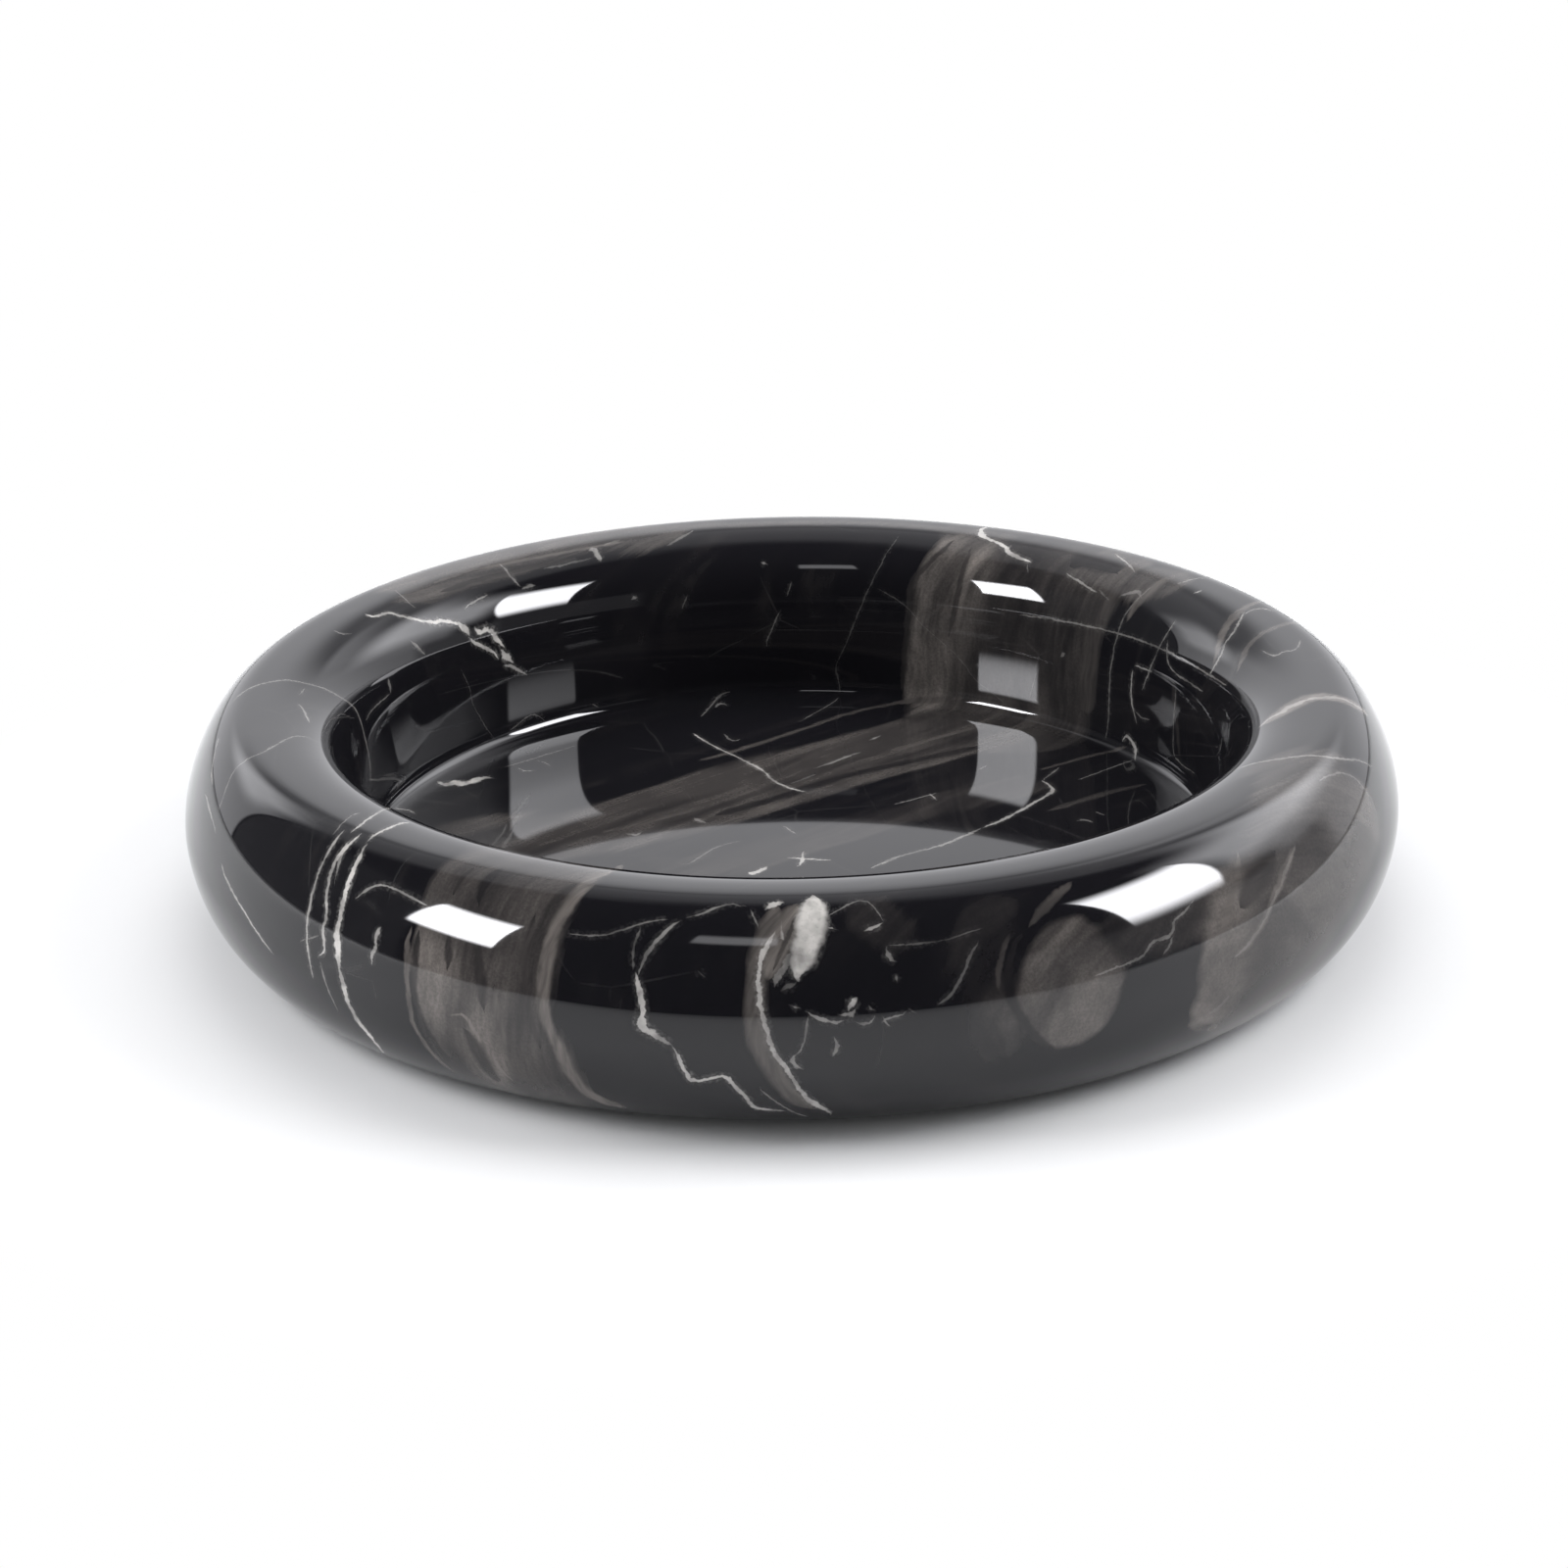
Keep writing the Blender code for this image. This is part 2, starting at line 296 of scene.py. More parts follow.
# Brown-grey clouds in the stone. Each has its half width in millimetres, its tone, how far its edge
# wanders in millimetres, and its course as above.
CLOUDS_SEEN = {
    "near left band": (17.5, 0.66, 2.5, (
        (546, 879), (516, 903), (500, 940), (493, 1030), (510, 1075), (545, 1122))),
    "near left band, pale part": (6.5, 1.85, 3.0, ((446, 985), (458, 1020), (500, 1086))),
    "right front patch": (12.4, 1.15, 1.0, ((1096, 994), (1091, 1014))),
    "right front, dark brown": (6.5, 0.25, 3.0, ((1150, 952), (1180, 944), (1214, 926))),
    "right front, small patch": (2.6, 0.75, 2.0, ((1016, 1032), (1028, 1046))),
    "right front cloud": (20.0, 0.7, 5.0, (
        (1362, 826), (1346, 878), (1316, 922), (1304, 972), (1306, 1012))),
    "right front, beige blotch": (1.8, 2.0, 2.0, ((1254, 983), (1236, 999))),
    "front, haze beside the blotch": (4.5, 0.16, 3.0, ((884, 928), (915, 955))),
    "front, haze beside the patch": (6.0, 0.14, 4.0, ((1010, 940), (1000, 1000), (1012, 1060))),
    "right front cloud, left part": (6.5, 1.6, 4.0, ((1262, 915), (1250, 950), (1242, 1018))),
    "back right band": (27.0, 0.34, 2.0, ((1062, 546), (1034, 660), (1028, 728))),
    "back right band, pale part": (8.0, 1.7, 3.0, ((985, 565), (966, 600), (950, 700))),
    "back right rim, bright stretch": (9.0, 0.75, 3.0, ((1128, 575), (1160, 590), (1180, 592))),
    "back left rim band": (7.0, 0.8, 5.0, ((420, 600), (470, 583), (600, 553), (670, 545))),
    "floor band": (16.0, 0.72, 3.5, (
        (1020, 738), (930, 758), (850, 780), (780, 800), (700, 822), (620, 842), (540, 856), (500, 858))),
    "floor, front band": (7.0, 0.3, 4.0, ((1040, 800), (760, 872), (690, 885))),
}
CLOUDS_UNSEEN = {
    "back band": (15.0, 0.9, 5.0, ((22, 20), (34, 100))),
    "back left cloud": (13.0, 0.7, 8.0, ((-50, 30), (-38, 66))),
    "left cloud": (11.0, 0.6, 8.0, ((-92, 40), (-84, 56))),
    "near wall band": (13.0, 0.8, 5.0, ((206, -26), (209, -62))),
    "underside, back right cloud": (5.5, 0.8, 3.0, ((52, 72), (60, 100), (74, 126))),
    "underside, near left cloud": (5.5, 0.8, 3.0, ((236, 74), (242, 98), (256, 120))),
}

# Narrow lines of the same brown-grey, and dark ones. Each has its half width in millimetres, its tone
# and its course as above.
LINES_SEEN = {
    "back rim, crest": (2.0, 0.8, ((620, 545), (680, 538), (860, 533), (980, 541), (1040, 549))),
    "near left band, right edge": (1.5, 2.0, (
        (634, 884), (612, 893), (594, 906), (566, 945), (560, 975), (555, 1025), (572, 1075), (586, 1100),
        (606, 1119), (642, 1132))),
    "near left band, left edge": (0.7, 1.4, (
        (420, 945), (415, 972), (418, 1030), (428, 1056), (446, 1080), (468, 1097))),
    "near left band, dark inside the left edge": (0.9, 0.15, (
        (427, 950), (422, 1000), (426, 1028), (437, 1054), (454, 1078), (478, 1098))),
    "near left band, inner line": (0.45, 2.2, (
        (458, 1037), (474, 1036), (484, 1052), (510, 1090), (525, 1104))),
    "near left band, upper dark streak": (1.4, 0.1, ((512, 886), (498, 898), (490, 912), (488, 922))),
    "near left band, upper dark streak's neighbour": (0.7, 0.25, ((484, 885), (470, 898), (462, 914))),
    "near left band, dark streak": (1.1, 0.3, ((458, 952), (457, 988))),
    "near left band, second dark streak": (1.4, 0.3, ((490, 962), (488, 980), (494, 1030))),
    "near left band, dark foot": (2.0, 0.25, ((474, 1050), (496, 1088), (508, 1104))),
    "near left band, lower pale streak": (0.8, 1.1, ((503, 1008), (512, 1054), (522, 1072))),
    "near left band, right dark streak": (1.0, 0.5, (
        (545, 935), (538, 965), (536, 1000), (540, 1035), (552, 1070))),
    "front pale band": (2.0, 1.35, (
        (793, 924), (773, 984), (770, 1040), (778, 1070), (806, 1114), (830, 1132))),
    "front pale band, head": (2.2, 2.3, ((814, 922), (804, 942), (782, 1000))),
    "front pale band, dark fold": (0.6, 0.6, ((812, 935), (789, 990))),
    "right front patch, rim": (1.1, 0.1, (
        (1046, 950), (1034, 969), (1030, 1013), (1053, 1052), (1081, 1080))),
    "right front patch, outer rim": (0.9, 0.55, ((1030, 952), (1022, 972), (1018, 995), (1019, 1012))),
    "right front patch, upper streak": (1.2, 0.9, ((1094, 900), (1080, 912), (1050, 945))),
    "right front cloud, strand": (1.0, 1.4, ((1322, 862), (1285, 949), (1257, 979))),
    "right front cloud, pale streak": (0.9, 1.35, ((1263, 868), (1262, 893), (1243, 972))),
    "right front cloud, dark streak": (3.2, 0.35, ((1300, 868), (1266, 926))),
    "back right band, left edge": (0.8, 0.32, ((972, 552), (948, 575), (930, 596), (926, 630), (920, 705))),
    "back right band, slanting edge": (0.8, 0.45, ((990, 560), (982, 585), (968, 650))),
    "back right band, speckled foot": (2.6, 0.6, ((1150, 596), (1136, 612), (1116, 655), (1108, 730))),
    "back right rim, dark hollow": (4.5, 0.05, ((1092, 578), (1110, 572), (1130, 576), (1140, 584))),
    "back right rim, pale arc": (1.0, 1.5, (
        (1310, 611), (1290, 613), (1272, 619), (1258, 630), (1248, 646), (1238, 680))),
    "back right rim, second arc": (0.9, 1.3, ((1330, 636), (1310, 637), (1278, 654), (1261, 688))),
    "back right rim, crest line": (1.4, 1.3, ((1190, 588), (1160, 616), (1150, 634))),
    "right rim, pale band": (2.4, 2.2, ((1284, 742), (1326, 716), (1350, 711), (1376, 716), (1396, 728))),
    "floor band, upper edge": (1.0, 0.85, ((985, 712), (890, 722), (760, 763), (550, 822))),
    "floor band, dark above": (1.6, 0.05, ((900, 712), (850, 722), (780, 745), (630, 788))),
    "floor band, second streak": (0.9, 0.95, ((1010, 740), (930, 760), (700, 828), (610, 850))),
    "floor band, dark streak": (1.6, 0.1, ((1000, 762), (870, 790), (800, 812), (730, 832))),
    "floor, third streak": (0.8, 0.7, ((1150, 762), (1060, 786), (800, 862))),
    "floor, dark streak": (3.0, 0.05, ((1080, 768), (1010, 790), (880, 822))),
    "floor, right streak": (1.0, 0.6, ((1170, 800), (1110, 815), (900, 880))),
    "back left rim, crest streak": (0.8, 1.3, ((440, 596), (490, 580), (640, 552))),
    "back left rim, dark streak": (1.0, 0.3, ((450, 604), (500, 588), (590, 569))),
    "right wall, streak": (0.9, 0.3, ((1196, 690), (1204, 775))),
}
LINES_UNSEEN = {
    "back band, edge": (1.4, 1.6, ((14, 20), (22, 92))),
    "back band, dark streak": (1.2, 0.2, ((25, 24), (33, 80))),
    "near wall band, edge": (1.3, 1.5, ((200, -26), (203, -60))),
    "underside, edge of the cloud": (1.4, 1.5, ((60, 70), (68, 98), (82, 124))),
}

# How the courses are laid on the body. Lengths are in millimetres. Clouds are wide and need fewer
# points than veins.
MILLIMETRE = 0.001
STEPS_PER_SPAN = 8
CLOUD_STRIDE = 4
LONGEST_GAP = 8.0
VEIN_LAYERS = 6
LINE_LAYERS = 4
VEIN_POWER = 1.8
MARGIN = 2.0
FAR_AWAY = 99.0
TINY = 1e-6
VEIN_ATTRIBUTE = "veins_{}"
LINE_ATTRIBUTE = "lines_{}"
CLOUD_ATTRIBUTE = "clouds"

# How far beyond its edge a strand's values reach, fully and until they have faded.
FULL_REACH = 1.5
WHOLE_REACH = 2.4

# A strand gets thinner towards its ends, and fainter where it has less than this share of its width.
TAPER_LENGTH = 5.0
TAPER_SHARE = 0.35
TAPER_POWER = 0.5
FAINT_END = 0.5

# Where clouds meet, the one that a place lies deeper inside has the larger share of the tone.
TONE_DEPTH = 3.0
TONE_BLEND = 1.5

STONE_IOR = 1.47

# The sheets of the stone stand upright and run from the near left to the back right.
SHEET_BEARING = math.radians(48.0)
SHEET_STRETCH = (1.0, 16.0, 7.0)
SHEET_DRIFT = (0.010, 0.0, 0.0)
DRIFT_SCALE = 22.0
DRIFT_DETAIL = 3.0

# Noises of the finishes. Each has its waves per metre, its detail and its roughness.
NOISE_MIDDLE = 0.5
WIDE_STREAKS = (150.0, 4.0, 0.6)
FINE_STREAKS = (620.0, 3.0, 0.6)
MOTTLE = (70.0, 5.0, 0.6)
GRAINS = (1500.0, 3.0, 0.7)
WOBBLE = (260.0, 4.0, 0.65)
SWELLING = (190.0, 3.0, 0.6)
CRYSTALS = (700.0, 4.0, 0.7)
SPECKLE = (1100.0, 3.0, 0.7)
BREAKS = (120.0, 3.0, 0.6)
CRACK_PATCHES = (35.0, 2.0, 0.5)
RUBBER_GRAIN = (2500.0, 4.0, 0.6)
RUBBER_WEAR = (180.0, 3.0, 0.5)

# Ramps of the finishes. Each has the value where it starts, the value where it ends and, unless they
# are 0 and 1, the levels that it has there.
WIDE_STREAK_SHADE = (0.3, 0.7, 0.4, 1.4)
FINE_STREAK_SHADE = (0.3, 0.72, 0.8, 1.15)
GRAIN_SHADE = (0.3, 0.7, 0.82, 1.18)
MOTTLE_SHADE = (0.25, 0.75, 0.7, 1.2)
LINE_SHADE = (0.3, 0.7, 0.65, 1.25)
LINE_SWELLING = (0.3, 0.7, -0.6, 0.5)
VEIN_SWELLING = (0.3, 0.7, -0.75, 0.5)
CLOUD_EDGE = (-1.0, 1.0)
GHOST_STREAKS = (0.5, 0.75)
GHOST_LEVEL = (0.4, 0.7, 0.02, 0.2)
LINE_EDGE = (1.5, 0.45)
VEIN_EDGE = (1.2, 0.6)
HALO_EDGE = (1.3, 0.0)
HALO_GRAIN = (0.42, 0.72, 0.03, 0.28)
FADED_WIDTHS = (0.0, 0.08)
BREAK_LEVEL = (0.32, 0.6, 0.45, 1.0)
CRACK_EDGE = (0.010, 0.0)
CRACK_LEVEL = (0.50, 0.66, 0.0, 0.025)
WEAR_LEVEL = (0.25, 0.5, 0.75, 1.0)
RUBBER_WEAR_LEVEL = (0.35, 0.7)
RUBBER_ROUGHNESS = (0.3, 0.7, 0.55, 0.75)

# How far a strand may wander and swell, from its half width in millimetres.
ROOM_SHARE = 0.5
ROOM_START = 0.2
ROOM_LIMIT = 0.7
THINNEST_STRAND = 0.02

# How strongly the noises move the edges of strands and clouds, and how soft a cloud's edge is.
WOBBLE_SIZE = 3.0
RAGGEDNESS = 2.4
CLOUD_WANDER = 4.0
SOFTNESS_SHARE = 0.35
SOFTNESS_START = 0.7

# Other settings of the finishes.
LINE_COVER = 0.85
CRACK_SCALE = 26.0
VEIN_DULLNESS = 0.05
VEIN_RELIEF = {"Strength": 0.15, "Distance": 0.00005}
RUBBER_RELIEF = {"Strength": 0.3, "Distance": 0.0001}
RUBBER_LIGHTENING = 1.8

# The sockets of a Mix node that mixes colours.
MIX_FACTOR, MIX_FIRST, MIX_SECOND, MIX_RESULT = 0, 6, 7, 2

# The studio. A card is a curved sheet that only the polish mirrors. Each has its two bearings and its
# two elevations in degrees, its distance, its strength, how wide its soft edges are in degrees (first
# side, second side, foot, top) and how many degrees its first side leans from foot to top.
FLOOR_RADIUS = 3.0
FLOOR_SIDES = 96
SHADOW_REACH = (0.145, 0.250)
CARDS = {
    "backdrop": ((-58.5, 70.0), (0.0, 33.0), 2.80, 1.3, (1.0, 8.0, 0.0, 12.0), 0.0),
    "backdrop_top": ((-66.0, 66.0), (26.0, 80.0), 2.85, 0.6, (20.0, 20.0, 8.0, 22.0), 0.0),
    "back_left_glow": ((-58.5, -24.0), (12.0, 40.0), 2.70, 3.0, (10.0, 16.0, 9.0, 13.0), 0.0),
    "back_right_glow": ((24.0, 94.0), (17.0, 54.0), 2.70, 5.2, (24.0, 14.0, 14.0, 16.0), 0.0),
    "back_right_foot_glow": ((40.0, 84.0), (12.0, 28.0), 2.72, 1.6, (24.0, 10.0, 6.0, 8.0), 0.0),
    "back_right_fill": ((6.0, 50.0), (20.0, 42.0), 2.75, 1.3, (8.0, 24.0, 8.0, 10.0), 0.0),
    "left_softbox": ((-125.0, -105.4), (18.4, 37.5), 2.60, 37.0, (0.3, 1.2, 2.6, 4.0), 0.0),
    "right_softbox": ((94.5, 117.0), (17.8, 48.0), 2.60, 28.0, (1.5, 0.6, 8.0, 7.0), -12.5),
    "front_strip": ((-177.0, -158.0), (42.0, 52.0), 2.00, 3.0, (1.0, 1.0, 3.0, 4.0), 0.0),
    "left_dark_wall": ((-108.0, -58.5), (0.0, 40.0), 2.90, 0.12, (1.0, 0.5, 0.0, 6.0), 0.0),
    "right_wall": ((62.0, 98.0), (0.0, 18.0), 2.85, 0.5, (8.0, 4.0, 0.0, 5.0), 0.0),
    "right_dark_wall": ((92.0, 142.0), (0.0, 21.0), 2.90, 0.25, (2.0, 6.0, 0.0, 3.0), 0.0),
}
CARD_STEPS = 24
CARD_COLOUR = (0.965, 0.965, 1.0, 1.0)
WHITE = (1.0, 1.0, 1.0, 1.0)

# Each light has its place and the name of the setting with its power.
LIGHT_SIZE = 0.9
LIGHTS = {
    "top_light": ((0.0, 0.50, 1.20), "top_power"),
    "left_light": ((-1.25, -0.03, 0.80), "side_power"),
    "right_light": ((1.15, 0.05, 0.85), "side_power"),
}


def colour_setting(name, description, default):
    """Return the setting of a colour."""
    return FloatVectorProperty(
        name=name, description=description, subtype="COLOR", size=3, min=0.0, max=1.0, default=default)


class MarbleTrayLook(PropertyGroup):
    """Colours and finish of the tray."""

    black: colour_setting("Black", "Colour of the dark stone", (0.0084, 0.0082, 0.0102))
    cloud: colour_setting("Cloud", "Colour of the brown-grey bands", (0.066, 0.059, 0.054))
    vein: colour_setting("Vein", "Colour of the white veins", (0.60, 0.58, 0.56))
    polish: FloatProperty(
        name="Polish", description="Roughness of the polished stone", subtype="FACTOR",
        min=0.0, max=1.0, default=0.035)
    rubber: colour_setting("Rubber", "Colour of the pads", (0.020, 0.020, 0.021))


class MarbleTrayStage(PropertyGroup):
    """Floor and light of the studio."""

    floor: colour_setting("Floor", "Colour of the floor", (0.90, 0.905, 0.925))
    ambient: FloatProperty(
        name="Ambient", description="Level of the light from all sides", min=0.0, default=0.42)
    top_power: FloatProperty(
        name="Top Light", description="Power of the soft light above the tray", subtype="POWER",
        unit="POWER", min=0.0, default=5.2)
    side_power: FloatProperty(
        name="Side Lights", description="Power of each soft light beside the tray", subtype="POWER",
        unit="POWER", min=0.0, default=16.5)


def quarter(centre, width, height, power):
    """Return the points of a rounded quarter, from its end beside the centre to the one above it."""
    angles = np.linspace(0.0, math.pi / 2, QUARTER_STEPS + 1)
    across = np.clip(np.cos(angles), 0.0, 1.0) ** (2 / power)
    up = np.sin(angles) ** (2 / power)
    return np.column_stack((centre[0] + width * across, centre[1] + height * up))


def distances_along(points):
    """Return how far along the line each of its points is."""
    steps = np.linalg.norm(np.diff(points, axis=0), axis=1)
    return np.concatenate(([0.0], np.cumsum(steps)))


def even_line(points, spacing):
    """Return a line through the points, with its own points at about this spacing."""
    along = distances_along(points)
    places = np.linspace(0.0, along[-1], round(along[-1] / spacing) + 1)
    return np.column_stack([np.interp(places, along, column) for column in points.T])


def softened(points):
    """Return the line with each point drawn towards its neighbours, so that its curves join softly."""
    points = points.copy()
    for _ in range(SOFTENING_PASSES):
        points[1:-1] = (points[:-2] + 2 * points[1:-1] + points[2:]) / 4
    return points


def rim_section():
    """Return the rim's section as (radius, height), from the edge of the floor to the underside."""
    wall_head_z = CREST_Z - WALL_HEAD_DROP
    widest_z = UNDERSIDE_Z + WIDEST_HEIGHT
    floor_edge = WALL_RADIUS - FLOOR_FILLET
    fillet = quarter((floor_edge, FLOOR_Z + FLOOR_FILLET), FLOOR_FILLET, -FLOOR_FILLET, 2.0)[::-1]
    shoulder = quarter((CREST_RADIUS, wall_head_z), -WALL_INSET, WALL_HEAD_DROP, SHOULDER_POWER)
    outer = quarter((CREST_RADIUS, widest_z), CREST_INSET, CREST_Z - widest_z, OUTER_POWER)[::-1]
    lower = quarter((CREST_RADIUS, widest_z), CREST_INSET, UNDERSIDE_Z - widest_z, UNDERSIDE_POWER)
    run_in = (floor_edge - FLOOR_FILLET, FLOOR_Z)
    run_out = (CREST_RADIUS - FLOOR_FILLET, UNDERSIDE_Z)
    line = np.vstack((run_in, fillet, shoulder, outer[1:], lower[1:], run_out))
    line = softened(even_line(line, DRAFT_SPACING))
    line[:, 0] *= OUTER_RADIUS / line[:, 0].max()
    line[:, 1] = UNDERSIDE_Z + (line[:, 1] - UNDERSIDE_Z) * (
        (CREST_Z - UNDERSIDE_Z) / (line[:, 1].max() - UNDERSIDE_Z))
    return even_line(line, RIM_SPACING)


def tray_section():
    """Return the whole section, from the middle of the floor to the middle of the underside."""
    rim = rim_section()
    floor_radii = np.linspace(0.0, rim[0, 0], FLOOR_RINGS, endpoint=False)
    floor = np.column_stack((floor_radii, np.full(FLOOR_RINGS, rim[0, 1])))
    underside_radii = np.linspace(0.0, rim[-1, 0], UNDERSIDE_RINGS, endpoint=False)[::-1]
    underside = np.column_stack((underside_radii, np.full(UNDERSIDE_RINGS, rim[-1, 1])))
    return np.vstack((floor, rim, underside))


def new_object(name, model):
    """Finish a bmesh as an object in the scene and return it."""
    mesh = bpy.data.meshes.new(name)
    model.to_mesh(mesh)
    model.free()
    piece = bpy.data.objects.new(name, mesh)
    bpy.context.scene.collection.objects.link(piece)
    return piece


def turn_section(name, section):
    """Turn a section once round +Z, one wedge at a time, and return the object."""
    model = bmesh.new()
    corners = [model.verts.new((radius, 0.0, height)) for radius, height in section]
    sides = [model.edges.new(pair) for pair in zip(corners, corners[1:])]
    axis = {"cent": (0.0, 0.0, 0.0), "axis": (0.0, 0.0, 1.0)}
    wedge = math.tau / WEDGES
    bmesh.ops.spin(model, geom=[*corners, *sides], angle=wedge, steps=TURN_STEPS // WEDGES, **axis)
    everything = [*model.verts, *model.edges, *model.faces]
    bmesh.ops.spin(
        model, geom=everything, angle=math.tau - wedge, steps=WEDGES - 1, use_duplicate=True, **axis)
    bmesh.ops.remove_doubles(model, verts=model.verts, dist=MERGE_DISTANCE)
    bmesh.ops.recalc_face_normals(model, faces=model.faces)
    for face in model.faces:
        face.smooth = True
    return new_object(name, model)


def turned(first, second, angle):
    """Return two directions turned together by the angle, the first towards the second."""
    cosine, sine = math.cos(angle), math.sin(angle)
    return first * cosine + second * sine, second * cosine - first * sine


def camera_matrix():
    """Return the camera's place and turn, with the tray's centre at its pixel of the picture."""
    cosine, sine = math.cos(CAMERA_ELEVATION), math.sin(CAMERA_ELEVATION)
    place = Vector((0.0, -cosine, sine)) * CAMERA_DISTANCE
    ahead = Vector((0.0, cosine, -sine))
    right = Vector((1.0, 0.0, 0.0))
    up = Vector((0.0, sine, cosine))
    yaw = math.atan((TRAY_CENTRE_PIXEL[0] - PICTURE_PIXELS / 2) / FOCAL_PIXELS)
    pitch = math.atan((TRAY_CENTRE_PIXEL[1] - PICTURE_PIXELS / 2) / FOCAL_PIXELS)
    right, ahead = turned(right, ahead, yaw)
    ahead, up = turned(ahead, up, pitch)
    right, up = turned(right, up, CAMERA_ROLL)
    turn = Matrix((right, up, -ahead)).transposed().to_4x4()
    return Matrix.Translation(place) @ turn


def smooth_course(course):
    """Return a smooth curve through the course's places, as an array with one row for each point."""
    places = np.array(course, dtype=float)
    padded = np.vstack((2 * places[0] - places[1], places, 2 * places[-1] - places[-2]))
    points = []
    for index in range(len(places) - 1):
        before, start, end, after = padded[index:index + 4]
        for share in np.arange(STEPS_PER_SPAN) / STEPS_PER_SPAN:
            points.append(0.5 * (
                2 * start + (end - before) * share
                + (2 * before - 5 * start + 4 * end - after) * share ** 2
                + (3 * start - before - 3 * end + after) * share ** 3))
    points.append(places[-1])
    return np.array(points)


def course_on_view(course, tree, camera):
    """Return the surface points in millimetres under a course that is given in the picture's pixels."""
    origin = camera.to_translation()
    turn = camera.to_3x3()
    middle = PICTURE_PIXELS / 2
    points = []
    for across, down in smooth_course(course):
        ray = turn @ Vector(((across - middle) / FOCAL_PIXELS, (middle - down) / FOCAL_PIXELS, -1.0))
        hit = tree.ray_cast(origin, ray.normalized())[0]
        if hit is not None:
            points.append(hit / MILLIMETRE)
    return np.array(points)


def course_round_tray(course):
    """Return the surface points in millimetres of a course of bearings and distances from the crest."""
    section = tray_section() / MILLIMETRE
    along = distances_along(section)
    along -= along[section[:, 1].argmax()]
    bearings, distances = smooth_course(course).T
    radii = np.interp(distances, along, section[:, 0])
    heights = np.interp(distances, along, section[:, 1])
    angles = np.radians(bearings)
    return np.column_stack((radii * np.sin(angles), radii * np.cos(angles), heights))


def whole_stretches(points):
    """Split a course wherever it jumps from one part of the tray to another."""
    jumps = np.linalg.norm(np.diff(points, axis=0), axis=1) > LONGEST_GAP
    stretches = np.split(points, np.flatnonzero(jumps) + 1)
    return [stretch for stretch in stretches if len(stretch) > 1]


def all_courses(seen, unseen, tree, camera):
    """Return every course as (its settings, its points)."""
    laid = [(entry[:-1], course_on_view(entry[-1], tree, camera)) for entry in seen.values()]
    return laid + [(entry[:-1], course_round_tray(entry[-1])) for entry in unseen.values()]


def nearest_on_course(places, points):
    """Return for each place its offset from the course, the course's direction there and the distance
    along it, and then the course's length.
    """
    starts, spans = points[:-1], np.diff(points, axis=0)
    lengths = np.linalg.norm(spans, axis=1)
    ends_before = np.concatenate(([0.0], np.cumsum(lengths)[:-1]))
    offsets = places[:, None, :] - starts[None, :, :]
    shares = np.clip((offsets * spans).sum(axis=2) / np.maximum(lengths, TINY) ** 2, 0.0, 1.0)
    offsets -= shares[:, :, None] * spans[None, :, :]
    best = (offsets ** 2).sum(axis=2).argmin(axis=1)
    rows = np.arange(len(places))
    along = ends_before[best] + shares[rows, best] * lengths[best]
    return offsets[rows, best], spans[best], along, lengths.sum()


def assign_layers(strands, layer_count):
    """Return a layer for each strand, so that strands of one layer keep clear of each other."""
    layers = []
    for index, ((half_width, _), points) in enumerate(strands):
        taken = set()
        for other in range(index):
            (other_width, _), other_points = strands[other]
            clearance = half_width + other_width + 2 * WHOLE_REACH + MARGIN
            if (points.min(axis=0) > other_points.max(axis=0) + clearance).any():
                continue
            if (points.max(axis=0) < other_points.min(axis=0) - clearance).any():
                continue
            gaps = np.linalg.norm(points[:, None, :] - other_points[None, :, :], axis=2)
            if gaps.min() < clearance:
                taken.add(layers[other])
        free = [layer for layer in range(layer_count) if layer not in taken]
        if not free:
            raise RuntimeError("the strands need more layers")
        layers.append(free[0])
    return layers


def lay_strands(places, normals, strands, layer_count, power):
    """Return for each layer the signed distance to its strand, the half width and the strength."""
    fields = np.zeros((layer_count, len(places), 3))
    fields[:, :, 0] = FAR_AWAY
    for layer, ((half_width, strength), points) in zip(assign_layers(strands, layer_count), strands):
        reach = half_width + WHOLE_REACH
        low, high = points.min(axis=0) - reach - MARGIN, points.max(axis=0) + reach + MARGIN
        near = np.flatnonzero((places > low).all(axis=1) & (places < high).all(axis=1))
        if not len(near):
            continue
        offsets, directions, along, length = nearest_on_course(places[near], points)
        distances = np.linalg.norm(offsets, axis=1)
        close = (distances < reach) | ((distances < reach + MARGIN) & (fields[layer, near, 0] == FAR_AWAY))
        near, offsets, directions = near[close], offsets[close], directions[close]
        along, distances = along[close], distances[close]
        sides = np.sign((np.cross(directions, normals[near]) * offsets).sum(axis=1))
        taper = max(min(TAPER_LENGTH, length * TAPER_SHARE), TINY)
        ends = np.clip(np.minimum(along, length - along) / taper, 0.0, 1.0) ** TAPER_POWER
        fade = np.clip((reach - distances) / (WHOLE_REACH - FULL_REACH), 0.0, 1.0)
        fields[layer, near, 0] = sides * distances
        fields[layer, near, 1] = half_width * ends * fade
        fields[layer, near, 2] = strength ** power * fade * np.minimum(ends / FAINT_END, 1.0)
    return fields


def lay_clouds(places, strands):
    """Return depth inside the nearest cloud in millimetres, its tone and its edge's wander."""
    depths = []
    for (half_width, _, _), points in strands:
        offsets = nearest_on_course(places, points[::CLOUD_STRIDE])[0]
        depths.append(half_width - np.linalg.norm(offsets, axis=1))
    depths = np.array(depths)
    half_widths, tones, wanders = np.array([settings for settings, _ in strands]).T
    shares = np.exp(np.minimum(depths, TONE_DEPTH) / TONE_BLEND) / half_widths[:, None] ** 2
    shares /= shares.sum(axis=0)
    return np.column_stack((depths.max(axis=0), tones @ shares, wanders @ shares))


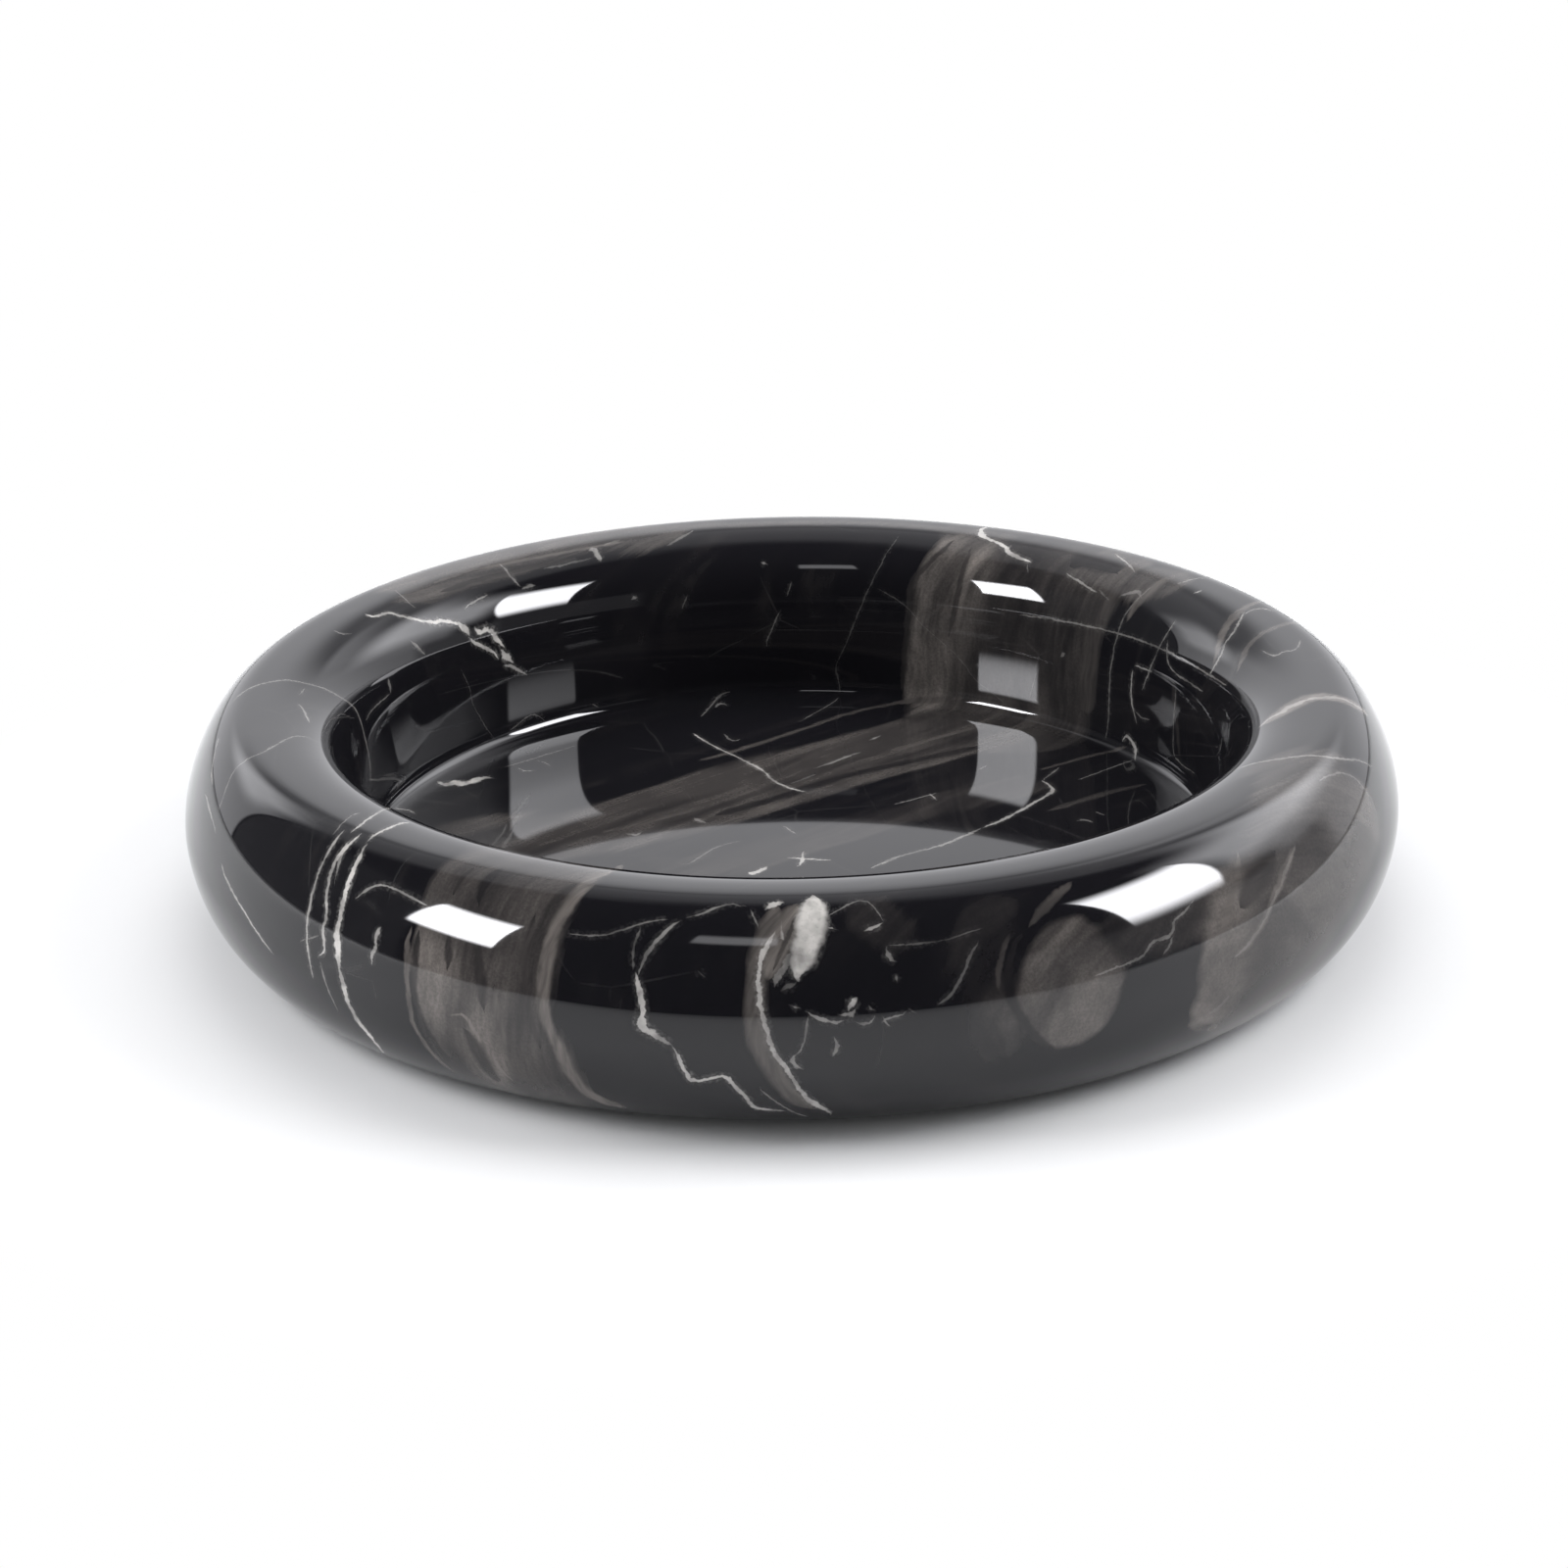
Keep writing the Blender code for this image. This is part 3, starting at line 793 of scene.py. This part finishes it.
def vertex_vectors(mesh, name):
    """Return the vertices' places or normals, as an array with one row for each."""
    values = np.empty(len(mesh.vertices) * 3)
    mesh.vertices.foreach_get(name, values)
    return values.reshape(-1, 3)


def store_field(mesh, name, values):
    """Store one vector for each vertex as an attribute of the mesh."""
    attribute = mesh.attributes.new(name, "FLOAT_VECTOR", "POINT")
    attribute.data.foreach_set("vector", values.astype(np.float32).ravel())


def lay_stone_pattern(body):
    """Store the veins and clouds of the stone on the turned body."""
    mesh = body.data
    places = vertex_vectors(mesh, "co") / MILLIMETRE
    normals = vertex_vectors(mesh, "normal")
    tree = BVHTree.FromObject(body, bpy.context.evaluated_depsgraph_get())
    camera = camera_matrix()
    for name, layer_count, power, seen, unseen in (
            (VEIN_ATTRIBUTE, VEIN_LAYERS, VEIN_POWER, VEINS_AND_PAINTED_LINE_SEEN, VEINS_UNSEEN),
            (LINE_ATTRIBUTE, LINE_LAYERS, 1.0, LINES_SEEN, LINES_UNSEEN)):
        strands = [
            (settings, stretch)
            for settings, points in all_courses(seen, unseen, tree, camera)
            for stretch in whole_stretches(points)]
        for layer, field in enumerate(lay_strands(places, normals, strands, layer_count, power)):
            store_field(mesh, name.format(layer), field)
    clouds = all_courses(CLOUDS_SEEN, CLOUDS_UNSEEN, tree, camera)
    store_field(mesh, CLOUD_ATTRIBUTE, lay_clouds(places, clouds))


class Nodes:
    """Adds nodes to one node tree, with few words for each."""

    def __init__(self, tree):
        self.tree = tree

    def fill(self, node, inputs):
        """Fill a node's inputs with values or with other nodes' outputs."""
        for name, value in inputs.items():
            if isinstance(value, bpy.types.NodeSocket):
                self.tree.links.new(value, node.inputs[name])
            else:
                node.inputs[name].default_value = value

    def add(self, kind, inputs=None, **settings):
        """Add a node, set its settings and fill its inputs."""
        node = self.tree.nodes.new(kind)
        for name, value in settings.items():
            setattr(node, name, value)
        self.fill(node, inputs or {})
        return node

    def math(self, operation, first, second=0.0, third=0.0, clamp=False):
        """Return the result of a Math node."""
        node = self.add(
            "ShaderNodeMath", {0: first, 1: second, 2: third}, operation=operation, use_clamp=clamp)
        return node.outputs["Value"]

    def vector_math(self, operation, first, second):
        """Return the result of a Vector Math node."""
        node = self.add("ShaderNodeVectorMath", {0: first, 1: second}, operation=operation)
        return node.outputs["Vector"]

    def ramp(self, value, start, end, low=0.0, high=1.0):
        """Return a smooth step of the value, from low at the start to high at the end."""
        node = self.add(
            "ShaderNodeMapRange",
            {"Value": value, "From Min": start, "From Max": end, "To Min": low, "To Max": high},
            interpolation_type="SMOOTHSTEP")
        return node.outputs["Result"]

    def noise(self, vector, scale, detail, roughness):
        """Return a noise from 0 to 1 that wanders about its middle."""
        node = self.add(
            "ShaderNodeTexNoise",
            {"Vector": vector, "Scale": scale, "Detail": detail, "Roughness": roughness})
        return node.outputs["Fac"]

    def stored_values(self, name):
        """Return the three values of an attribute that is stored on the mesh."""
        field = self.add("ShaderNodeAttribute", attribute_name=name)
        return self.add("ShaderNodeSeparateXYZ", {"Vector": field.outputs["Vector"]}).outputs

    def swing(self, noise, size):
        """Return a noise that swings about 0 instead, times a size."""
        return self.math("MULTIPLY", self.math("SUBTRACT", noise, NOISE_MIDDLE), size)

    def mix(self, factor, first, second, blend="MIX"):
        """Return two colours mixed."""
        inputs = {MIX_FACTOR: factor, MIX_FIRST: first, MIX_SECOND: second}
        return self.add("ShaderNodeMix", inputs, data_type="RGBA", blend_type=blend).outputs[MIX_RESULT]


def new_material(name):
    """Return a new material with only a Principled shader, its nodes helper and the shader."""
    material = bpy.data.materials.new(name)
    material.use_nodes = True
    return material, Nodes(material.node_tree), material.node_tree.nodes["Principled BSDF"]


def strand_parts(nodes, name, wobble, swelling):
    """Return a layer's distance from its strand, its half width, its strength, how far it is present
    and how much room it has to wander.
    """
    distance, half_width, strength = nodes.stored_values(name)
    wanted = nodes.math("MULTIPLY_ADD", half_width, ROOM_SHARE, ROOM_START)
    room = nodes.math("MINIMUM", wanted, nodes.math("DIVIDE", ROOM_LIMIT, half_width))
    away = nodes.math("ABSOLUTE", nodes.math("MULTIPLY_ADD", wobble, room, distance))
    swollen = nodes.math("MULTIPLY_ADD", nodes.math("MULTIPLY", swelling, room), half_width, half_width)
    width = nodes.math("MAXIMUM", swollen, THINNEST_STRAND)
    present = nodes.ramp(half_width, *FADED_WIDTHS)
    return away, width, strength, present, room


def vein_line(nodes, layer, wobble, swelling, ragged, grain):
    """Return how strongly a layer's veins show, from 0 to 1."""
    name = VEIN_ATTRIBUTE.format(layer)
    away, width, strength, present, room = strand_parts(nodes, name, wobble, swelling)
    frayed = nodes.math("MULTIPLY", ragged, room)
    core = nodes.ramp(nodes.math("DIVIDE", nodes.math("SUBTRACT", away, frayed), width), *VEIN_EDGE)
    halo = nodes.math("MULTIPLY", nodes.ramp(nodes.math("SUBTRACT", away, width), *HALO_EDGE), grain)
    shown = nodes.math("MULTIPLY", nodes.math("MAXIMUM", core, halo), strength)
    return nodes.math("MULTIPLY", shown, present)


def cloud_colour(nodes, look, level):
    """Return the brown-grey of the clouds over the black at this level."""
    grey = nodes.add("ShaderNodeCombineColor", {channel: level for channel in ("Red", "Green", "Blue")})
    tinted = nodes.mix(1.0, (*look.cloud, 1.0), grey.outputs["Color"], "MULTIPLY")
    return nodes.mix(1.0, (*look.black, 1.0), tinted, "ADD")


def clouded_stone(nodes, look, coordinates, bent, wobble):
    """Return the colour of the stone with its clouds and its brown-grey and dark lines."""
    wide_streaks = nodes.noise(bent, *WIDE_STREAKS)
    fine_streaks = nodes.noise(bent, *FINE_STREAKS)
    mottle = nodes.noise(coordinates, *MOTTLE)
    wide_shade = nodes.ramp(wide_streaks, *WIDE_STREAK_SHADE)
    streak_shade = nodes.math("MULTIPLY", wide_shade, nodes.ramp(fine_streaks, *FINE_STREAK_SHADE))
    grains = nodes.ramp(nodes.noise(coordinates, *GRAINS), *GRAIN_SHADE)
    grained = nodes.math("MULTIPLY", streak_shade, grains)
    shade = nodes.math("MULTIPLY", grained, nodes.ramp(mottle, *MOTTLE_SHADE))

    depth, tone, wander = nodes.stored_values(CLOUD_ATTRIBUTE)
    softness = nodes.math("MULTIPLY_ADD", wander, SOFTNESS_SHARE, SOFTNESS_START)
    wandering = nodes.math("MULTIPLY_ADD", nodes.swing(wide_streaks, wander), CLOUD_WANDER, depth)
    inside = nodes.ramp(nodes.math("DIVIDE", wandering, softness), *CLOUD_EDGE)
    cloud_level = nodes.math("MULTIPLY", nodes.math("MULTIPLY", tone, shade), inside)
    ghosts = nodes.ramp(wide_streaks, *GHOST_STREAKS)
    ghost_level = nodes.math("MULTIPLY", ghosts, nodes.ramp(mottle, *GHOST_LEVEL))
    stone = cloud_colour(nodes, look, nodes.math("MAXIMUM", cloud_level, ghost_level))

    line_shade = nodes.ramp(fine_streaks, *LINE_SHADE)
    swelling = nodes.ramp(wide_streaks, *LINE_SWELLING)
    for layer in range(LINE_LAYERS):
        name = LINE_ATTRIBUTE.format(layer)
        away, width, tone, present, _ = strand_parts(nodes, name, wobble, swelling)
        share = nodes.math("MULTIPLY", nodes.ramp(nodes.math("DIVIDE", away, width), *LINE_EDGE), present)
        line = cloud_colour(nodes, look, nodes.math("MULTIPLY", tone, line_shade))
        stone = nodes.mix(nodes.math("MULTIPLY", share, LINE_COVER), stone, line)
    return stone


def marble_material(look):
    """Return the polished black marble."""
    material, nodes, shader = new_material("black_marble_polished")
    coordinates = nodes.add("ShaderNodeTexCoord").outputs["Object"]
    sheets = nodes.add(
        "ShaderNodeMapping", {
            "Vector": coordinates,
            "Rotation": (0.0, 0.0, -SHEET_BEARING),
            "Scale": SHEET_STRETCH},
        vector_type="TEXTURE").outputs["Vector"]
    drift_noise = nodes.add(
        "ShaderNodeTexNoise", {"Vector": coordinates, "Scale": DRIFT_SCALE, "Detail": DRIFT_DETAIL})
    drift = nodes.vector_math("MULTIPLY", drift_noise.outputs["Color"], SHEET_DRIFT)
    bent = nodes.vector_math("ADD", sheets, drift)
    wobble = nodes.swing(nodes.noise(coordinates, *WOBBLE), WOBBLE_SIZE)
    stone = clouded_stone(nodes, look, coordinates, bent, wobble)

    speckle = nodes.noise(coordinates, *SPECKLE)
    breaks = nodes.noise(coordinates, *BREAKS)
    swelling = nodes.ramp(nodes.noise(coordinates, *SWELLING), *VEIN_SWELLING)
    ragged = nodes.swing(nodes.noise(coordinates, *CRYSTALS), RAGGEDNESS)
    grain = nodes.ramp(speckle, *HALO_GRAIN)
    shown = 0.0
    for layer in range(VEIN_LAYERS):
        shown = nodes.math("MAXIMUM", shown, vein_line(nodes, layer, wobble, swelling, ragged, grain))
    shown = nodes.math("MULTIPLY", shown, nodes.ramp(breaks, *BREAK_LEVEL))
    crooked = nodes.vector_math("ADD", coordinates, drift)
    cracks = nodes.add(
        "ShaderNodeTexVoronoi", {"Vector": crooked, "Scale": CRACK_SCALE, "Randomness": 1.0},
        feature="DISTANCE_TO_EDGE").outputs["Distance"]
    crack_line = nodes.ramp(cracks, *CRACK_EDGE)
    crack_mask = nodes.ramp(nodes.noise(coordinates, *CRACK_PATCHES), *CRACK_LEVEL)
    shown = nodes.math("MAXIMUM", shown, nodes.math("MULTIPLY", crack_line, crack_mask))
    veins_and_painted_line = nodes.math("MULTIPLY", shown, nodes.ramp(speckle, *WEAR_LEVEL), clamp=True)

    # The white of the veins also carries the painted reflection line on the right inner wall.
    bump = nodes.add("ShaderNodeBump", {"Height": veins_and_painted_line, **VEIN_RELIEF}, invert=True)
    nodes.fill(shader, {
        "IOR": STONE_IOR,
        "Base Color": nodes.mix(veins_and_painted_line, stone, (*look.vein, 1.0)),
        "Roughness": nodes.math("MULTIPLY_ADD", veins_and_painted_line, VEIN_DULLNESS, look.polish),
        "Normal": bump.outputs["Normal"]})
    return material


def rubber_material(look):
    """Return the dull rubber of the pads."""
    material, nodes, shader = new_material("pad_rubber_dull")
    coordinates = nodes.add("ShaderNodeTexCoord").outputs["Object"]
    grain = nodes.noise(coordinates, *RUBBER_GRAIN)
    wear = nodes.noise(coordinates, *RUBBER_WEAR)
    lighter = tuple(channel * RUBBER_LIGHTENING for channel in look.rubber)
    bump = nodes.add("ShaderNodeBump", {"Height": grain, **RUBBER_RELIEF})
    nodes.fill(shader, {
        "Base Color": nodes.mix(
            nodes.ramp(wear, *RUBBER_WEAR_LEVEL), (*look.rubber, 1.0), (*lighter, 1.0)),
        "Roughness": nodes.ramp(grain, *RUBBER_ROUGHNESS),
        "Normal": bump.outputs["Normal"]})
    return material


class MARBLE_TRAY_OT_turn_body(Operator):
    """Turn the tray's body and give it its marble"""

    bl_idname = "marble_tray.turn_body"
    bl_label = "Turn Tray Body"

    def execute(self, context):
        body = turn_section("marble_body", tray_section())
        lay_stone_pattern(body)
        body.data.materials.append(marble_material(context.scene.marble_tray_look))
        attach(body, "root")
        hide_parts("tray_body")
        return {"FINISHED"}


class MARBLE_TRAY_OT_finish_pads(Operator):
    """Give the pads under the tray their rubber"""

    bl_idname = "marble_tray.finish_pads"
    bl_label = "Finish Pads"

    def execute(self, context):
        rubber = rubber_material(context.scene.marble_tray_look)
        for name in PADS:
            for material_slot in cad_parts[name].material_slots:
                material_slot.material = rubber
        return {"FINISHED"}


def mix_shaders(nodes, share, first, second):
    """Put two shaders, mixed by the share, in the place of a new material's Principled shader."""
    nodes.tree.nodes.remove(nodes.tree.nodes["Principled BSDF"])
    mixed = nodes.add("ShaderNodeMixShader", {0: share, 1: first, 2: second}).outputs["Shader"]
    nodes.fill(nodes.tree.nodes["Material Output"], {"Surface": mixed})


def floor_material(stage):
    """Return a pale floor that keeps the tray's shadow and is white further off."""
    material, nodes, _ = new_material("studio_floor")
    coordinates = nodes.add("ShaderNodeTexCoord").outputs["Object"]
    radius = nodes.add("ShaderNodeVectorMath", {0: coordinates}, operation="LENGTH").outputs["Value"]
    seen = nodes.add("ShaderNodeLightPath").outputs["Is Camera Ray"]
    share = nodes.math("MULTIPLY", nodes.ramp(radius, *SHADOW_REACH), seen)
    cloth = nodes.add("ShaderNodeBsdfDiffuse", {"Color": (*stage.floor, 1.0)}).outputs["BSDF"]
    white = nodes.add("ShaderNodeEmission", {"Strength": 1.0}).outputs["Emission"]
    mix_shaders(nodes, share, cloth, white)
    return material


def card_material(name, bearings, elevations, distance, strength, softness, lean):
    """Return the glow of a card, which fades out along its edges."""
    material, nodes, _ = new_material(name)
    coordinates = nodes.add("ShaderNodeTexCoord").outputs["Object"]
    across, ahead, height = nodes.add("ShaderNodeSeparateXYZ", {"Vector": coordinates}).outputs
    bearing = nodes.math("ARCTAN2", across, ahead)
    elevation = nodes.math("ARCTAN2", height, distance)
    (start, end), (foot, top) = (map(math.radians, pair) for pair in (bearings, elevations))
    slope = -math.radians(lean) / (top - foot)
    leaning = nodes.math("MULTIPLY_ADD", nodes.math("SUBTRACT", elevation, foot), slope, bearing)
    values = (leaning, bearing, elevation, elevation)
    fade = 1.0
    for value, edge, width, inwards in zip(values, (start, end, foot, top), softness, (1, -1, 1, -1)):
        if width > 0:
            edge_end = edge + math.radians(width) * inwards
            fade = nodes.math("MULTIPLY", fade, nodes.ramp(value, edge, edge_end))
    glow = nodes.add("ShaderNodeEmission", {"Color": CARD_COLOUR, "Strength": strength}).outputs["Emission"]
    clear = nodes.add("ShaderNodeBsdfTransparent").outputs["BSDF"]
    mix_shaders(nodes, fade, clear, glow)
    return material


def build_card(name, bearings, elevations, distance, strength, softness, lean):
    """Hang one curved card round the tray, which only mirrors see."""
    low, high = (distance * math.tan(math.radians(value)) for value in elevations)
    start, end = math.radians(bearings[0] + min(lean, 0.0)), math.radians(bearings[1])
    model = bmesh.new()
    foot = (distance * math.sin(start), distance * math.cos(start))
    ends = [model.verts.new((*foot, height)) for height in (low, high)]
    side = model.edges.new(ends)
    bmesh.ops.spin(
        model, geom=[*ends, side], cent=(0.0, 0.0, 0.0), axis=(0.0, 0.0, -1.0),
        angle=end - start, steps=CARD_STEPS)
    card = new_object(name, model)
    card.data.materials.append(card_material(
        name, bearings, elevations, distance, strength, softness, lean))
    for ray in ("camera", "diffuse", "transmission", "volume_scatter", "shadow"):
        setattr(card, "visible_" + ray, False)


def build_floor(stage):
    """Lay the floor under the tray."""
    model = bmesh.new()
    bmesh.ops.create_circle(model, cap_ends=True, segments=FLOOR_SIDES, radius=FLOOR_RADIUS)
    floor = new_object("studio_floor", model)
    floor.data.materials.append(floor_material(stage))


def build_world(stage):
    """Light the tray from all sides, show white to the camera and leave mirrors dark."""
    world = bpy.data.worlds.new("studio_world")
    world.use_nodes = True
    nodes = Nodes(world.node_tree)
    background = world.node_tree.nodes["Background"]
    paths = nodes.add("ShaderNodeLightPath").outputs
    soft = nodes.math("MULTIPLY", paths["Is Diffuse Ray"], stage.ambient)
    strength = nodes.math("MAXIMUM", soft, paths["Is Camera Ray"])
    nodes.fill(background, {"Strength": strength, "Color": WHITE})
    bpy.context.scene.world = world


def build_light(name, place, power):
    """Hang one square soft light that faces the tray and that mirrors don't see."""
    light = bpy.data.lights.new(name, "AREA")
    light.energy = power
    light.size = LIGHT_SIZE
    lamp = bpy.data.objects.new(name, light)
    lamp.location = place
    lamp.rotation_euler = Vector(place).to_track_quat("Z", "Y").to_euler()
    lamp.visible_glossy = False
    bpy.context.scene.collection.objects.link(lamp)


def build_camera():
    """Stand the camera in front of the tray."""
    lens = bpy.data.cameras.new("studio_camera")
    lens.sensor_width = SENSOR_WIDTH
    lens.lens = FOCAL_PIXELS * SENSOR_WIDTH / PICTURE_PIXELS
    camera = bpy.data.objects.new("studio_camera", lens)
    camera.matrix_world = camera_matrix()
    bpy.context.scene.collection.objects.link(camera)
    bpy.context.scene.camera = camera


class MARBLE_TRAY_OT_set_stage(Operator):
    """Set the floor, the cards, the light and the camera"""

    bl_idname = "marble_tray.set_stage"
    bl_label = "Set Stage"

    def execute(self, context):
        stage = context.scene.marble_tray_stage
        build_floor(stage)
        for name, settings in CARDS.items():
            build_card("card_" + name, *settings)
        build_world(stage)
        for name, (place, power) in LIGHTS.items():
            build_light(name, place, getattr(stage, power))
        build_camera()
        context.scene.view_settings.view_transform = "Standard"
        return {"FINISHED"}


class MARBLE_TRAY_PT_panel(Panel):
    """Lists what the add-on builds"""

    bl_idname = "MARBLE_TRAY_PT_panel"
    bl_label = "Marble Tray"
    bl_space_type = "VIEW_3D"
    bl_region_type = "UI"
    bl_category = "Marble Tray"

    def draw(self, context):
        layout = self.layout
        for settings in (context.scene.marble_tray_look, context.scene.marble_tray_stage):
            for name in settings.__annotations__:
                layout.prop(settings, name)
        for operator in OPERATORS:
            layout.operator(operator.bl_idname)


OPERATORS = (MARBLE_TRAY_OT_turn_body, MARBLE_TRAY_OT_finish_pads, MARBLE_TRAY_OT_set_stage)
CLASSES = (MarbleTrayLook, MarbleTrayStage, *OPERATORS, MARBLE_TRAY_PT_panel)


def register():
    """Make the settings, the operators and the panel known to Blender."""
    for item in CLASSES:
        bpy.utils.register_class(item)
    bpy.types.Scene.marble_tray_look = PointerProperty(type=MarbleTrayLook)
    bpy.types.Scene.marble_tray_stage = PointerProperty(type=MarbleTrayStage)


def unregister():
    """Take them away again."""
    del bpy.types.Scene.marble_tray_stage
    del bpy.types.Scene.marble_tray_look
    for item in reversed(CLASSES):
        bpy.utils.unregister_class(item)


def corners(box):
    """Return a box's two corners as plain lists."""
    return [list(corner) for corner in box]


def main():
    """Build everything."""
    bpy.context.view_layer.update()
    register()
    bpy.ops.marble_tray.turn_body()
    bpy.ops.marble_tray.finish_pads()
    bpy.ops.marble_tray.set_stage()


if __name__ == "__main__":
    main()
